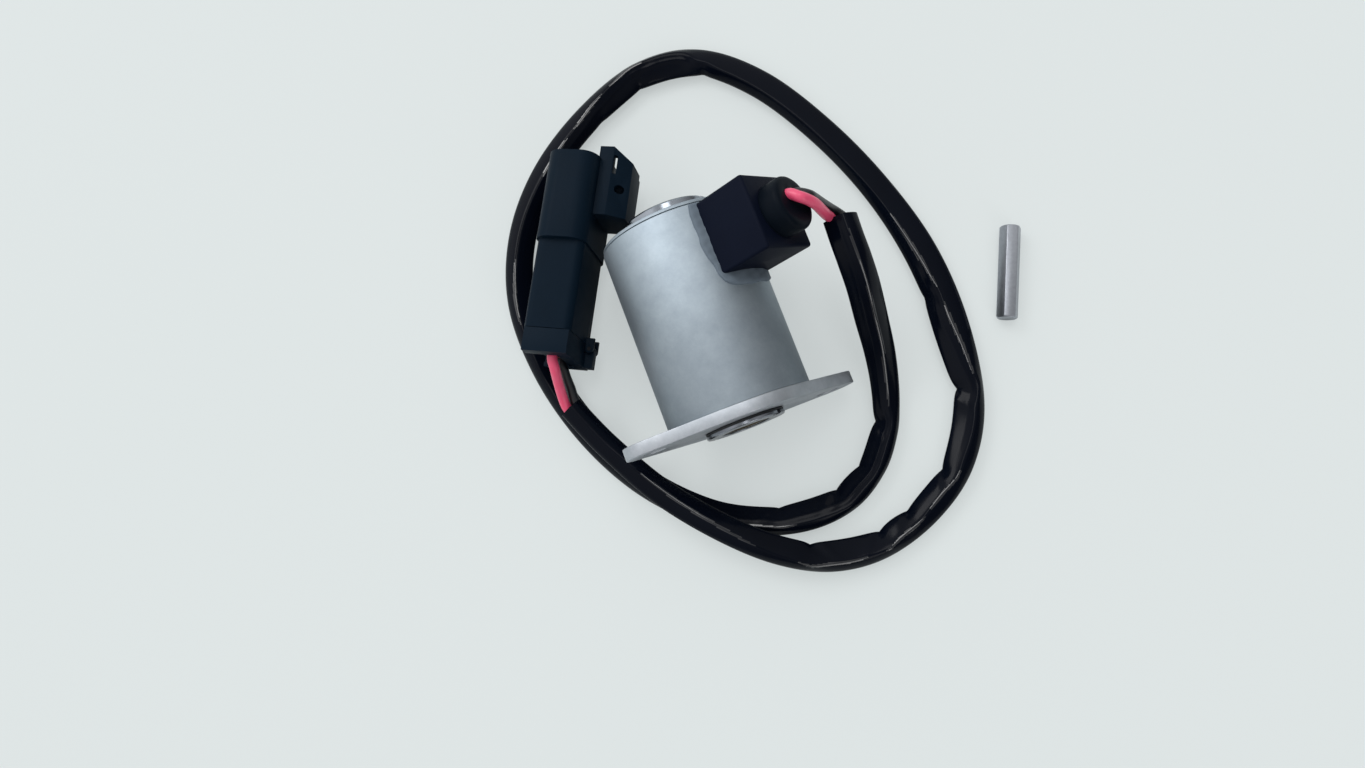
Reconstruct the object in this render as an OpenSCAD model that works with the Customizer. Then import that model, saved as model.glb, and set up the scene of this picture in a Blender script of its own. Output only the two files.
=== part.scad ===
// Push pull solenoid: tubular steel housing, two hole flange, potted terminal block,
// sleeved flying leads with a sealed two way connector half, and its loose hexagonal push pin.
// The plunger axis is the Y axis. The mounting face is at y = 0 and the rear is at positive y.
// The solenoid lies on its side on a level surface, turned a little about its own axis.

/* [Housing] */
// Outside diameter of the housing tube
housing_d = 34; // [32:0.5:36]
// Wall of the housing tube
housing_wall = 1.6; // [1.2:0.1:2]
// Distance from the mounting face to the rear rim of the end cap
housing_l = 48; // [46:0.5:54]
// Angle by which the solenoid is turned about its own axis as it lies
lie_roll = 20; // [0:1:25]

/* [Flange] */
// Thickness of the mounting flange
flange_t = 2.8; // [2:0.1:4]
// Distance between the two bolt holes
bolt_pitch = 45; // [43:0.5:50]
// Diameter of the bolt holes
bolt_hole_d = 5.5; // [4:0.1:6.5]
// Radius of the rounded ears
ear_r = 6.5; // [5:0.25:8]

/* [Pilot spigot] */
// Diameter of the locating spigot
spigot_d = 18.8; // [17:0.1:21]
// Height of the spigot in front of the mounting face
spigot_h = 1.5; // [1.2:0.1:3]
// Depth of the spigot behind the mounting face
spigot_depth = 6; // [5:0.25:8]
// Width of the seal groove at the root of the spigot
seal_groove_w = 0.6; // [0.4:0.1:0.8]
// Depth of the seal groove
seal_groove_d = 0.6; // [0.4:0.1:0.8]
// Width of the spanner slots in the spigot and the collar
spanner_slot_w = 1.2; // [0.8:0.1:2]
// Depth of the spanner slots in from the rim
spanner_slot_d = 1.6; // [1:0.1:2]
// Wall of the bush that guides the plunger shank
front_bush_wall = 1; // [0.6:0.1:1.4]

/* [End cap and collar] */
// Thickness of the end cap rim that shows behind the tube
cap_rim_t = 0.9; // [0.6:0.1:1.5]
// How much smaller the end cap rim is than the tube, on the radius
cap_rim_step = 0.3; // [0.2:0.1:0.8]
// Thickness of the end cap plug inside the tube
cap_plug_t = 4; // [3:0.25:5]
// Diameter of the rear collar
collar_d = 21.6; // [18:0.2:26]
// Height of the rear collar behind the end cap
collar_h = 3.4; // [2:0.1:5]
// Diameter of the pole neck that holds the collar
pole_neck_d = 13; // [11:0.25:14]

/* [Coil] */
// Wall of the guide tube
guide_wall = 0.5; // [0.3:0.05:0.8]
// Wall of the bobbin barrel
bobbin_wall = 1; // [0.8:0.1:1.5]
// Thickness of the bobbin flanges
bobbin_flange_t = 1.2; // [0.8:0.1:2]
// Thickness of the tape round the winding
tape_t = 0.3; // [0.2:0.05:0.5]

/* [Plunger] */
// Diameter of the plunger
plunger_d = 12.2; // [11:0.1:13]
// Length of the full diameter of the plunger
plunger_l = 20; // [18:0.5:21]
// Diameter of the plunger shank in the spigot
shank_d = 9.2; // [8:0.1:9.6]
// How far the shank end lies inside the spigot face
shank_recess = 0.6; // [0.3:0.1:1.5]
// Working stroke
stroke = 8; // [6:0.5:9]
// Diameter of the threaded hole in the shank
thread_hole_d = 4.2; // [3.2:0.1:5]
// Depth of the threaded hole
thread_hole_l = 9; // [6:0.5:11]
// Diameter of the push rod
rod_d = 4; // [3:0.1:4.5]
// Wire of the return spring
spring_wire_d = 0.8; // [0.6:0.05:1]
// Turns of the return spring
spring_turns = 6; // [5:1:7]

/* [Terminal block] */
// Width of the block round the housing
block_w = 17.1; // [15:0.1:19]
// Length of the block along the housing
block_l = 16.8; // [14:0.1:18]
// Distance from the plunger axis to the outer face of the block
block_top = 28.3; // [26:0.1:31]
// Distance from the rear rim to the rear face of the block
block_setback = 1.4; // [1:0.1:2]
// Angle of the block from the square of the flange
block_angle = 30; // [0:1:40]
// Chamfer round the outer face of the block
block_edge = 0.7; // [0.4:0.1:1]
// Width of the sealant in front of the block
sealant_margin = 3.2; // [2:0.1:3.6]
// Width of the sealant on either side of the block
sealant_side = 2.2; // [1.6:0.1:2.8]
// Thickness of the sealant
sealant_t = 0.7; // [0.4:0.1:1]
// Diameter of the rubber grommet
grommet_d = 12.4; // [10:0.1:14]
// Height of the grommet
grommet_h = 5; // [4:0.1:7]

/* [Leads] */
// Diameter of one insulated lead
lead_d = 2.4; // [2:0.05:2.6]
// Height of the flattened sleeve
sleeve_h = 5.2; // [4.6:0.1:5.4]

/* [Connector half] */
// Length of the connector body without the latch
shell_l = 48.8; // [46:0.2:52]
// Thickness of the shroud
shroud_t = 12.3; // [11.8:0.1:14]
// Height of the shroud
shroud_w = 21; // [20:0.25:23]
// Wall of the shroud
shroud_wall = 1.4; // [1.1:0.1:1.6]
// Length of the shroud
shroud_l = 21.5; // [20:0.1:24]
// Thickness of the middle of the body
middle_t = 11.4; // [10.5:0.1:12]
// Height of the middle of the body
middle_w = 17.4; // [17:0.1:18]
// Length of the rear cover
cover_l = 5.6; // [5:0.1:7]
// Wall of the rear cover
cover_wall = 1; // [0.8:0.1:1.2]
// Distance between the two contacts
contact_pitch = 6.8; // [6.4:0.1:7.2]
// Diameter of one contact pin
contact_d = 2; // [1.5:0.1:2.4]
// How far the latch block stands out from the shroud
latch_reach = 7.3; // [6.6:0.1:8]
// Length of the latch block
latch_l = 17.1; // [16:0.1:19]
// Wall of the latch block
latch_wall = 1.3; // [1:0.1:1.5]

/* [Push pin] */
// Size of the hexagonal pin across its flats
pin_af = 4.5; // [4:0.1:5]
// Length of the pin
pin_l = 23; // [18:0.5:26]

/* [Hidden] */

$fn = 64;
// Radial clearance of the plunger and the rod in their guides
run_gap = 0.06;
// Small gap between moulded pieces that are fitted by hand
slip_gap = 0.1;
// Gap between a piece that moves and what it passes
move_gap = 0.4;
// Overlap that makes a cut pass right through
over = 1;
// Depth by which the flange's straight edges start inside its round ones
skim = 0.01;

housing_r = housing_d / 2;
floor_z = -housing_r;
tube_end = housing_l - cap_rim_t;
bore_r = housing_r - housing_wall;
spigot_r = spigot_d / 2;
shank_r = shank_d / 2;
plunger_r = plunger_d / 2;
rod_r = rod_d / 2;
lead_r = lead_d / 2;

// Front bush and shank
bush_bore_r = shank_r + run_gap;
bush_out_r = bush_bore_r + front_bush_wall;

// Magnetic core
guide_bore_r = plunger_r + run_gap;
guide_out_r = guide_bore_r + guide_wall;
cap_front = tube_end - cap_plug_t;
bobbin_bore_r = guide_out_r + slip_gap;
barrel_r = bobbin_bore_r + bobbin_wall;
bobbin_r = bore_r - 0.2;
bobbin_front = spigot_depth;
bobbin_rear = cap_front;
winding_r = bobbin_r - 1;
stop_t = 0.7;
shoulder_y = spigot_depth + stop_t + 0.3;
plunger_rear = shoulder_y + plunger_l;
pole_front = plunger_rear + stroke + 1;
pole_neck_r = pole_neck_d / 2;
collar_rear = housing_l + collar_h;
pole_rear = collar_rear - 0.4;

// Spring pockets
spring_r = rod_r + 0.35 + spring_wire_d / 2;
pocket_r = spring_r + spring_wire_d / 2 + 0.4;
pocket_d = 4;
pole_pocket_d = 3;
spring_front = plunger_rear - pocket_d;
spring_rear = pole_front + pole_pocket_d;
rod_bush_r = rod_r + run_gap + 1;
rod_front = plunger_rear - pocket_d - 5;
rod_rear = pole_rear - 1;

// Terminal block, measured in its own frame with the outer face towards +Z
block_rear = housing_l - block_setback;
block_front = block_rear - block_l;
block_mid = (block_front + block_rear) / 2;
neck_w = 11;
neck_rear = cap_front - 0.6;
neck_front = block_front + 2;
neck_foot = max(bobbin_r, winding_r + tape_t) + 0.15;
sealant_w = block_w + 2 * sealant_side;
sealant_front = block_front - sealant_margin;
sealant_rear = tube_end - 0.1;
sealant_corner = 3.6;
grommet_r = grommet_d / 2;
grommet_y = block_mid - 0.1;
grommet_plug_r = grommet_r - 1.7;
grommet_plug_d = 3.5;
grommet_edge = 1;
// Tags that join the winding's tails to the leads
tag_t = 1;
tag_w = 3;
tag_foot = neck_foot + 1;
tail_d = 0.9;
// Places of the two leads in the grommet, across and along the block
red_hole = [-1.6, 1.5];
black_hole = [1.3, 1.7];

// Connector half, in its own frame: front towards +Y, floor at z = 0
connector_at = [-35.6, 27.3, floor_z];
connector_turn = -27.5;
connector_lean = -8.5;
connector_pitch = -4.6;
connector_lift = 4.3;
shroud_rear = shell_l - shroud_l;
middle_z = shroud_w / 2;
cover_rear = 0.5;
middle_rear = cover_rear + cover_l;
shroud_corner = 4;
middle_corner = 2;
cavity_floor = shroud_rear + 4;
tower_t = 7;
tower_w = 14.2;
tower_rear = cover_rear + cover_wall + 0.2;
seal_d = 5.2;
seal_l = 4;
contact_x = 0.8;
contact_low = middle_z - contact_pitch / 2;
contact_high = middle_z + contact_pitch / 2;
contact_end = shell_l - 8;
latch_rear = 34.8;
latch_front = latch_rear + latch_l;
latch_half = 6.25;
latch_flat = 2.9;
latch_drop = 2.5;
latch_x = shroud_t / 2;
latch_bevel = 3.1;
slot_w = 0.8;
slot_l = 4.6;
slot_rear = 45.2;
eye_d = 2.2;
eye_y = 41.6;
cover_top = middle_w / 2;
cover_left = -5;
cover_right = middle_t / 2;
// Opening of the cover, deeper below because the leads turn down at once
opening_gap = 0.6;
opening_low = middle_z - cover_top + cover_wall + 0.6;
knuckle_r = 1;
hinge_pin_r = 0.5;
hinge_x = cover_right + knuckle_r;
hinge_y = middle_rear - 1.1;
knuckle_low = middle_z - cover_top + 1.1;
knuckle_h = 2.2;
lug_t = 0.9;

// Push pin on the floor, its middle and the angle that it lies at
pin_at = [74.2, 12.2];
pin_turn = -25;

// Centre line of the sleeve from the solenoid round to the connector, and its width there
sleeve_route = [
    [35.2, 33.6, 11, 7.7], [34.9, 28.8, 11, 7.7], [35, 24, 9.7, 7.8], [35.4, 18.5, 6, 7.8],
    [35.8, 12, -0.5, 7.8], [36.1, 5, -7, 7.4], [35.5, -1.5, -11.5, 6.9],
    [34, -7.5, -13.9, 6.5], [31.4, -13.2, -14.4, 6.3], [26, -19.7, -14.4, 6.4],
    [17.5, -24.6, -14.4, 6.8], [7, -25.6, -14.4, 7], [-4.5, -22.7, -14.4, 6.9],
    [-16, -16, -14.4, 6.9], [-27.5, -3.6, -14.4, 6.9], [-35.8, 12.6, -14.4, 7],
    [-40.4, 30.6, -14.4, 6.9], [-40.5, 48.5, -14.4, 6.9], [-34.6, 64.4, -14.4, 6.9],
    [-23.6, 77.6, -14.4, 7], [-8.5, 87.6, -14.4, 7], [7.5, 93.2, -14.4, 6.8],
    [22.5, 91.1, -14.4, 6.9], [35, 80, -14.4, 7.2], [45, 62.8, -14.4, 7.2],
    [52.2, 44, -14.4, 7.4], [56.2, 24.5, -14.4, 8.3], [56.2, 5, -14.4, 8.5],
    [53, -13.8, -14.4, 7.1], [45.2, -26.3, -14.4, 7], [34, -34, -14.4, 6.9],
    [21, -37.8, -14.4, 6.9], [9, -36.6, -13.2, 7], [-2, -31, -10.6, 6.8],
    [-12.6, -21.6, -9, 6.6], [-23.4, -8.6, -9, 6.3], [-31.8, 6.2, -8.9, 6],
    [-37, 18.2, -8.2, 5.8]];

// Centre lines of the bare leads at each end of the sleeve
red_block_route = [
    [22.2, 39.4, 20.7], [23.6, 39.4, 21.9], [24.7, 39.3, 22.8], [26.1, 37.8, 23.7],
    [27.4, 37, 23], [29.2, 36, 20.8], [30.8, 35, 17.5], [32.2, 34, 13.9], [33, 33.7, 12.6]];
black_block_route = [
    [24, 39.6, 18.5], [25.4, 39.6, 19.6], [26.6, 39.5, 20.6], [28.6, 38.3, 20.6],
    [30, 37.7, 18.5], [31.7, 36.9, 15.5], [33.4, 36, 11.8], [35.2, 34.8, 10.2],
    [35.9, 33.7, 10]];
red_plug_route = [
    [-33.9, 33.3, 0.72], [-35.1, 31, 0.93], [-36.13, 29.03, 1.11], [-36.45, 26.69, 0.38],
    [-36.98, 24.75, -1.96], [-37.59, 22.12, -4.89], [-37.9, 19.8, -6.77], [-37.9, 18.4, -7.4]];
black_plug_route = [
    [-33.26, 32.36, -5.98], [-34.46, 30.06, -5.78], [-35.45, 28.16, -5.6],
    [-35.38, 26.65, -6.02], [-35.49, 24.83, -6.66], [-35.49, 22.61, -7.49],
    [-35.6, 20.6, -7.97], [-35.7, 19, -8.2]];

// ---- Shared shapes ----

// Turns a solid made along Z so that it lies along the plunger axis
module along_axis(y = 0) {
    translate([0, y, 0]) rotate([-90, 0, 0]) children();
}

module disc(r, from, to) {
    along_axis(from) cylinder(r = r, h = to - from);
}

module ring(outer, inner, from, to) {
    difference() {
        disc(outer, from, to);
        disc(inner, from - over, to + over);
    }
}

module lying() {
    rotate([0, lie_roll, 0]) children();
}

module block_frame() {
    lying() rotate([0, block_angle, 0]) children();
}

module connector_frame() {
    translate(connector_at + [0, 0, connector_lift]) rotate([0, 0, connector_turn])
        rotate([connector_pitch, 0, 0]) rotate([0, connector_lean, 0]) children();
}

// Rectangle with round corners, centred
module round_rect(w, h, r) {
    square([w - 2 * r, h], center = true);
    square([w, h - 2 * r], center = true);
    for (x = [-1, 1], y = [-1, 1])
        translate([x * (w / 2 - r), y * (h / 2 - r)]) circle(r = r);
}

// Bar of constant section along +Y, drawn in X and Z
module bar(from, to) {
    translate([0, to, 0]) rotate([90, 0, 0]) linear_extrude(to - from) children();
}

function unit(v) = v / norm(v);

// Point at fraction t of the smooth curve between points b and c
function between(a, b, c, d, t) =
    b + t * (c - a) / 2 + t * t * (a - 2.5 * b + 2 * c - d / 2)
    + t * t * t * ((d - a) / 2 + 1.5 * (b - c));

function smooth(p, steps) = let (n = len(p)) [
    for (i = [0:n - 2], k = [0:steps - 1])
        between(p[max(i - 1, 0)], p[i], p[i + 1], p[min(i + 2, n - 1)], k / steps),
    p[n - 1]];

function heading(p) = let (n = len(p)) [
    for (i = [0:n - 1]) unit(p[min(i + 1, n - 1)] - p[max(i - 1, 0)])];

// Tube of oval section swept along points, with its width at each; side lies across it
module swept(p, w, h, sides, side) {
    n = len(p);
    t = heading(p);
    across = [for (i = 0, s = unit(side - (side * t[0]) * t[0]); i < n; i = i + 1,
        s = i < n ? unit(s - (s * t[i]) * t[i]) : s) s];
    pts = [for (i = [0:n - 1], k = [0:sides - 1]) let (a = 360 * k / sides)
        p[i] + across[i] * w[i] / 2 * cos(a) + cross(across[i], t[i]) * h / 2 * sin(a)];
    walls = [for (i = [0:n - 2], k = [0:sides - 1]) let (j = (k + 1) % sides) each [
        [i * sides + k, i * sides + j, (i + 1) * sides + k],
        [i * sides + j, (i + 1) * sides + j, (i + 1) * sides + k]]];
    first = [[for (k = [sides - 1:-1:0]) k]];
    last = [[for (k = [0:sides - 1]) (n - 1) * sides + k]];
    polyhedron(points = pts, faces = concat(walls, first, last));
}

// ---- Solenoid body ----

// Steel tube with the window that the terminal block plugs into
module housing_tube() {
    color("#b4bbc0") lying() difference() {
        ring(housing_r, bore_r, flange_t, tube_end);
        rotate([0, block_angle, 0])
            translate([-neck_w / 2 - slip_gap, neck_front - slip_gap, bore_r / 2])
            cube([neck_w + 2 * slip_gap, neck_rear - neck_front + 2 * slip_gap, housing_r]);
    }
}

// Straight sided part of the plate, between the places where its sides meet the round ends
module flange_sides() {
    lean = asin((housing_r - ear_r) / (bolt_pitch / 2));
    body = housing_r - skim;
    ear = ear_r - skim;
    reach = [body * sin(lean), bolt_pitch / 2 + ear * sin(lean)];
    rise = [body * cos(lean), ear * cos(lean)];
    polygon([[-reach[1], rise[1]], [-reach[0], rise[0]], [reach[0], rise[0]],
        [reach[1], rise[1]], [reach[1], -rise[1]], [reach[0], -rise[0]],
        [-reach[0], -rise[0]], [-reach[1], -rise[1]]]);
}

// Plate with two ears
module mounting_flange() {
    color("#b9bfc3") lying() difference() {
        union() {
            disc(housing_r, 0, flange_t);
            bar(0, flange_t) flange_sides();
            for (s = [-1, 1]) translate([s * bolt_pitch / 2, 0, 0]) disc(ear_r, 0, flange_t);
        }
        disc(spigot_r, -over, flange_t + over);
        for (s = [-1, 1])
            translate([s * bolt_pitch / 2, 0, 0]) disc(bolt_hole_d / 2, -over, flange_t + over);
    }
}

module spanner_slots(r, from, to) {
    for (a = [35, 215]) rotate([0, a, 0])
        translate([-spanner_slot_w / 2, from, r - spanner_slot_d])
        cube([spanner_slot_w, to - from, 2 * spanner_slot_d]);
}

// Turned steel ring pressed through the flange, with a groove for the seal
module pilot_spigot() {
    color("#c9ced2") lying() difference() {
        disc(spigot_r, -spigot_h, spigot_depth);
        disc(bush_out_r, -spigot_h - over, spigot_depth + over);
        ring(spigot_r + over, spigot_r - seal_groove_d, -seal_groove_w, 0);
        spanner_slots(spigot_r, -spigot_h - over, -seal_groove_w);
    }
}

// Rubber ring in the groove, its outside flush with the spigot
module pilot_seal() {
    color("#1d1f22") lying()
        ring(spigot_r - 0.1, spigot_r - seal_groove_d, -seal_groove_w, 0);
}

module front_bush() {
    color("#8c8f86") lying() ring(bush_out_r, bush_bore_r, -spigot_h + 0.3, spigot_depth);
}

// Steel closing plate: a plug inside the tube and a thin rim that shows behind it
module end_cap() {
    color("#bdc3c8") lying() difference() {
        union() {
            disc(bore_r, cap_front, tube_end);
            disc(housing_r - cap_rim_step, tube_end, housing_l);
        }
        disc(pole_neck_r, cap_front - over, housing_l + over);
    }
}

// Bright ring that holds the pole piece to the end cap
module rear_collar() {
    edge = 0.4;
    color("#d6dade") lying() difference() {
        along_axis(housing_l) rotate_extrude() polygon([
            [pole_neck_r, 0], [collar_d / 2, 0], [collar_d / 2, collar_h - edge],
            [collar_d / 2 - edge, collar_h], [pole_neck_r, collar_h]]);
        spanner_slots(collar_d / 2, housing_l + 0.8, collar_rear + over);
    }
}

module pole_piece() {
    color("#a9afb3") lying() difference() {
        union() {
            disc(guide_bore_r, pole_front, cap_front);
            disc(pole_neck_r, cap_front, pole_rear);
        }
        disc(rod_bush_r, pole_front - over, pole_rear + over);
        disc(pocket_r, pole_front - over, spring_rear);
    }
}

module rod_bush() {
    color("#9a8c5c") lying() ring(rod_bush_r, rod_r + run_gap, spring_rear, pole_rear);
}

module guide_tube() {
    color("#c2a35a") lying() ring(guide_out_r, guide_bore_r, spigot_depth, cap_front);
}

module front_flux_ring() {
    color("#8f959a") lying() ring(bore_r, spigot_r, flange_t, spigot_depth);
}

module coil_bobbin() {
    color("#2b2d30") lying() difference() {
        union() {
            disc(barrel_r, bobbin_front, bobbin_rear);
            disc(bobbin_r, bobbin_front, bobbin_front + bobbin_flange_t);
            disc(bobbin_r, bobbin_rear - bobbin_flange_t, bobbin_rear);
        }
        disc(bobbin_bore_r, bobbin_front - over, bobbin_rear + over);
    }
}

module coil_winding() {
    color("#b5652c") lying() ring(winding_r, barrel_r,
        bobbin_front + bobbin_flange_t, bobbin_rear - bobbin_flange_t);
}

module winding_tape() {
    color("#d8c27a") lying() ring(winding_r + tape_t, winding_r,
        bobbin_front + bobbin_flange_t, bobbin_rear - bobbin_flange_t);
}

module stop_washer() {
    color("#3a3a38") lying() ring(guide_bore_r - 0.1, bush_bore_r + 0.3,
        spigot_depth, spigot_depth + stop_t);
}

// ---- Moving core ----

module plunger() {
    color("#6f7478") lying() difference() {
        union() {
            disc(shank_r, -spigot_h + shank_recess, shoulder_y);
            disc(plunger_r, shoulder_y, plunger_rear);
        }
        disc(thread_hole_d / 2, -spigot_h - over, -spigot_h + shank_recess + thread_hole_l);
        disc(rod_r, rod_front, plunger_rear + over);
        disc(pocket_r, spring_front, plunger_rear + over);
    }
}

module push_rod() {
    color("#c8cccf") lying() disc(rod_r, rod_front, rod_rear);
}

// Coil of round wire between the pocket of the plunger and the pocket of the pole
module return_spring() {
    steps = 12 * spring_turns;
    rise = (spring_rear - spring_front - spring_wire_d) / steps;
    coil = [for (i = [0:steps]) let (a = 30 * i)
        [spring_r * sin(a), spring_front + spring_wire_d / 2 + i * rise, spring_r * cos(a)]];
    color("#aeb3b7") lying()
        swept(coil, [for (q = coil) spring_wire_d], spring_wire_d, 6, [0, 1, 0]);
}

// ---- Terminal block ----

module block_footprint(grow) {
    translate([0, -block_mid]) round_rect(block_w - grow, block_l - grow, 0.8);
}

// Moulded box seated on the round of the tube, its neck plugged through the window
module terminal_block() {
    color("#232427") block_frame() difference() {
        union() {
            difference() {
                mirror([0, 1, 0]) union() {
                    linear_extrude(block_top - block_edge) block_footprint(0);
                    hull() {
                        translate([0, 0, block_top - block_edge - 0.01])
                            linear_extrude(0.01) block_footprint(0);
                        translate([0, 0, block_top - 0.01])
                            linear_extrude(0.01) block_footprint(2 * block_edge);
                    }
                }
                disc(housing_r, 0, housing_l + over);
            }
            translate([-neck_w / 2, neck_front, neck_foot])
                cube([neck_w, neck_rear - neck_front, housing_r + 2 - neck_foot]);
        }
        translate([0, grommet_y, block_top - grommet_plug_d])
            cylinder(r = grommet_plug_r, h = grommet_plug_d + over);
        tag_strips();
        tail_wires();
    }
}

// Rubber strain relief with a rounded crown; the two leads pass through it
module block_grommet() {
    color("#1c1d1f") block_frame() difference() {
        translate([0, grommet_y, block_top]) rotate_extrude() {
            translate([0, -grommet_plug_d]) square([grommet_plug_r, grommet_plug_d]);
            square([grommet_r, grommet_h - grommet_edge]);
            square([grommet_r - grommet_edge, grommet_h]);
            translate([grommet_r - grommet_edge, grommet_h - grommet_edge])
                intersection() {
                    circle(r = grommet_edge);
                    square(grommet_edge);
                }
        }
        for (hole = [red_hole, black_hole])
            translate([hole[0], grommet_y + hole[1], block_top - grommet_plug_d - over])
                cylinder(r = lead_r, h = grommet_plug_d + grommet_h + 2 * over);
    }
}

// Skin of grey sealant laid on the tube round the foot of the block
module sealant_bead() {
    long = sealant_rear - sealant_front;
    color("#8f969c") block_frame() difference() {
        intersection() {
            ring(housing_r + sealant_t, housing_r, sealant_front, sealant_rear);
            translate([0, sealant_front + long / 2, bore_r / 2])
                linear_extrude(housing_r) round_rect(sealant_w, long, sealant_corner);
        }
        translate([-block_w / 2, block_front, 0]) cube([block_w, block_l, block_top]);
    }
}

// Two brass strips cast into the block; each joins one tail to one lead
module tag_strips() {
    for (hole = [red_hole, black_hole])
        translate([hole[0] - tag_t / 2, grommet_y + hole[1] - tag_w / 2, tag_foot])
            cube([tag_t, tag_w, block_top - grommet_plug_d - tag_foot]);
}

module terminal_tags() {
    color("#c2a45a") block_frame() tag_strips();
}

// Ends of the winding wire, up through the neck to the tags
module tail_wires() {
    for (hole = [red_hole, black_hole])
        translate([hole[0], grommet_y + hole[1], winding_r + tape_t])
            cylinder(d = tail_d, h = tag_foot - winding_r - tape_t);
}

module coil_tails() {
    color("#a85a26") block_frame() tail_wires();
}

// ---- Leads and sleeve ----

module lead(route) {
    line = smooth(route, 2);
    swept(line, [for (q = line) lead_d], lead_d, 8, [0, 1, 0]);
}

module red_block_lead() {
    color("#d2495c") lead(red_block_route);
}

module black_block_lead() {
    color("#1a1b1e") lead(black_block_route);
}

module lead_sleeve() {
    line = smooth(sleeve_route, 2);
    color("#16181b") swept([for (q = line) [q[0], q[1], q[2]]],
        [for (q = line) q[3]], sleeve_h, 12, [1, 0, 0]);
}

module red_plug_lead() {
    color("#d2495c") lead(red_plug_route);
}

module black_plug_lead() {
    color("#1a1b1e") lead(black_plug_route);
}

// ---- Connector half ----

// Section of the latch block beside the shroud, grown inwards by the wall
module latch_section(wall) {
    far = latch_reach - wall;
    half = latch_half - wall;
    polygon([[-0.5, -half], [latch_flat - wall / 4, -half], [far, -half + latch_drop],
        [far, half - latch_drop], [latch_flat - wall / 4, half], [-0.5, half]]);
}

module latch_block() {
    difference() {
        translate([latch_x, 0, middle_z]) bar(latch_rear, latch_front) latch_section(0);
        translate([latch_x, 0, middle_z])
            bar(latch_rear + latch_wall, latch_front + over) difference() {
                latch_section(latch_wall);
                translate([-over, -shroud_w]) square([over, 2 * shroud_w]);
            }
        // Bevel across the front corner
        translate([latch_x + latch_flat, latch_front, 0])
            rotate([0, 0, -atan(latch_bevel / (latch_reach - latch_flat))])
            cube([2 * latch_reach, latch_l, shroud_w]);
        // The lower wall stops short of the front
        translate([latch_x, latch_front - 4.3, middle_z - latch_half - over])
            cube([latch_reach + over, latch_l, over + 3.4]);
        // Slot and eye in the upper wall
        translate([latch_x + latch_flat + 0.2, slot_rear, middle_z])
            cube([slot_w, slot_l, shroud_w]);
        translate([latch_x + latch_flat + 2.2, eye_y, middle_z]) cylinder(d = eye_d, h = shroud_w);
    }
}

// One moulding: shroud, solid middle, inner tower for the seals, and latch block
module connector_shroud() {
    color("#222326") connector_frame() difference() {
        union() {
            translate([0, 0, middle_z]) {
                bar(shroud_rear, shell_l) round_rect(shroud_t, shroud_w, shroud_corner);
                bar(middle_rear, shroud_rear) round_rect(middle_t, middle_w, middle_corner);
                translate([contact_x, 0, 0]) bar(tower_rear, middle_rear)
                    round_rect(tower_t, tower_w, middle_corner);
            }
            latch_block();
            for (z = [knuckle_low - lug_t - 0.2, knuckle_low + knuckle_h + 0.2])
                translate([0, 0, z]) hinge_lug();
        }
        translate([0, 0, middle_z]) bar(cavity_floor, shell_l + over)
            round_rect(shroud_t - 2 * shroud_wall, shroud_w - 2 * shroud_wall,
                shroud_corner - shroud_wall);
        for (z = [contact_low, contact_high]) translate([contact_x, 0, z]) {
            disc(contact_d / 2, tower_rear, cavity_floor + over);
            disc(seal_d / 2, tower_rear - over, tower_rear + seal_l);
            disc(lead_r + 0.2, tower_rear - over, cavity_floor - 4);
        }
        for (z = [knuckle_low - lug_t - over, knuckle_low + knuckle_h])
            translate([hinge_x, hinge_y, z]) cylinder(r = hinge_pin_r, h = lug_t + 2 * over);
    }
}

// Arm that reaches back from the middle and carries one end of the hinge pin
module hinge_lug() {
    translate([hinge_x, hinge_y, 0]) cylinder(r = knuckle_r, h = lug_t);
    translate([hinge_x - knuckle_r, hinge_y, 0])
        cube([2 * knuckle_r, middle_rear + 1.5 - hinge_y, lug_t]);
    translate([cover_right - 1, middle_rear, 0])
        cube([hinge_x + knuckle_r - cover_right + 1, 1.5, lug_t]);
}

module connector_pins() {
    color("#b9a36a") connector_frame()
        for (z = [contact_low, contact_high]) translate([contact_x, 0, z]) {
            disc(contact_d / 2, cavity_floor - 4, contact_end - contact_d / 2);
            translate([0, contact_end - contact_d / 2, 0]) sphere(d = contact_d);
        }
}

// Rubber plugs round the leads, with sealing ribs
module cable_seals() {
    color("#6a3030") connector_frame()
        for (z = [contact_low, contact_high]) translate([contact_x, 0, z]) difference() {
            union() {
                disc(seal_d / 2 - 0.4, tower_rear, tower_rear + seal_l);
                for (k = [0:2]) disc(seal_d / 2, tower_rear + 0.4 + 1.2 * k,
                    tower_rear + 1.1 + 1.2 * k);
            }
            disc(lead_r, tower_rear - over, tower_rear + seal_l + over);
        }
}

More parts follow.
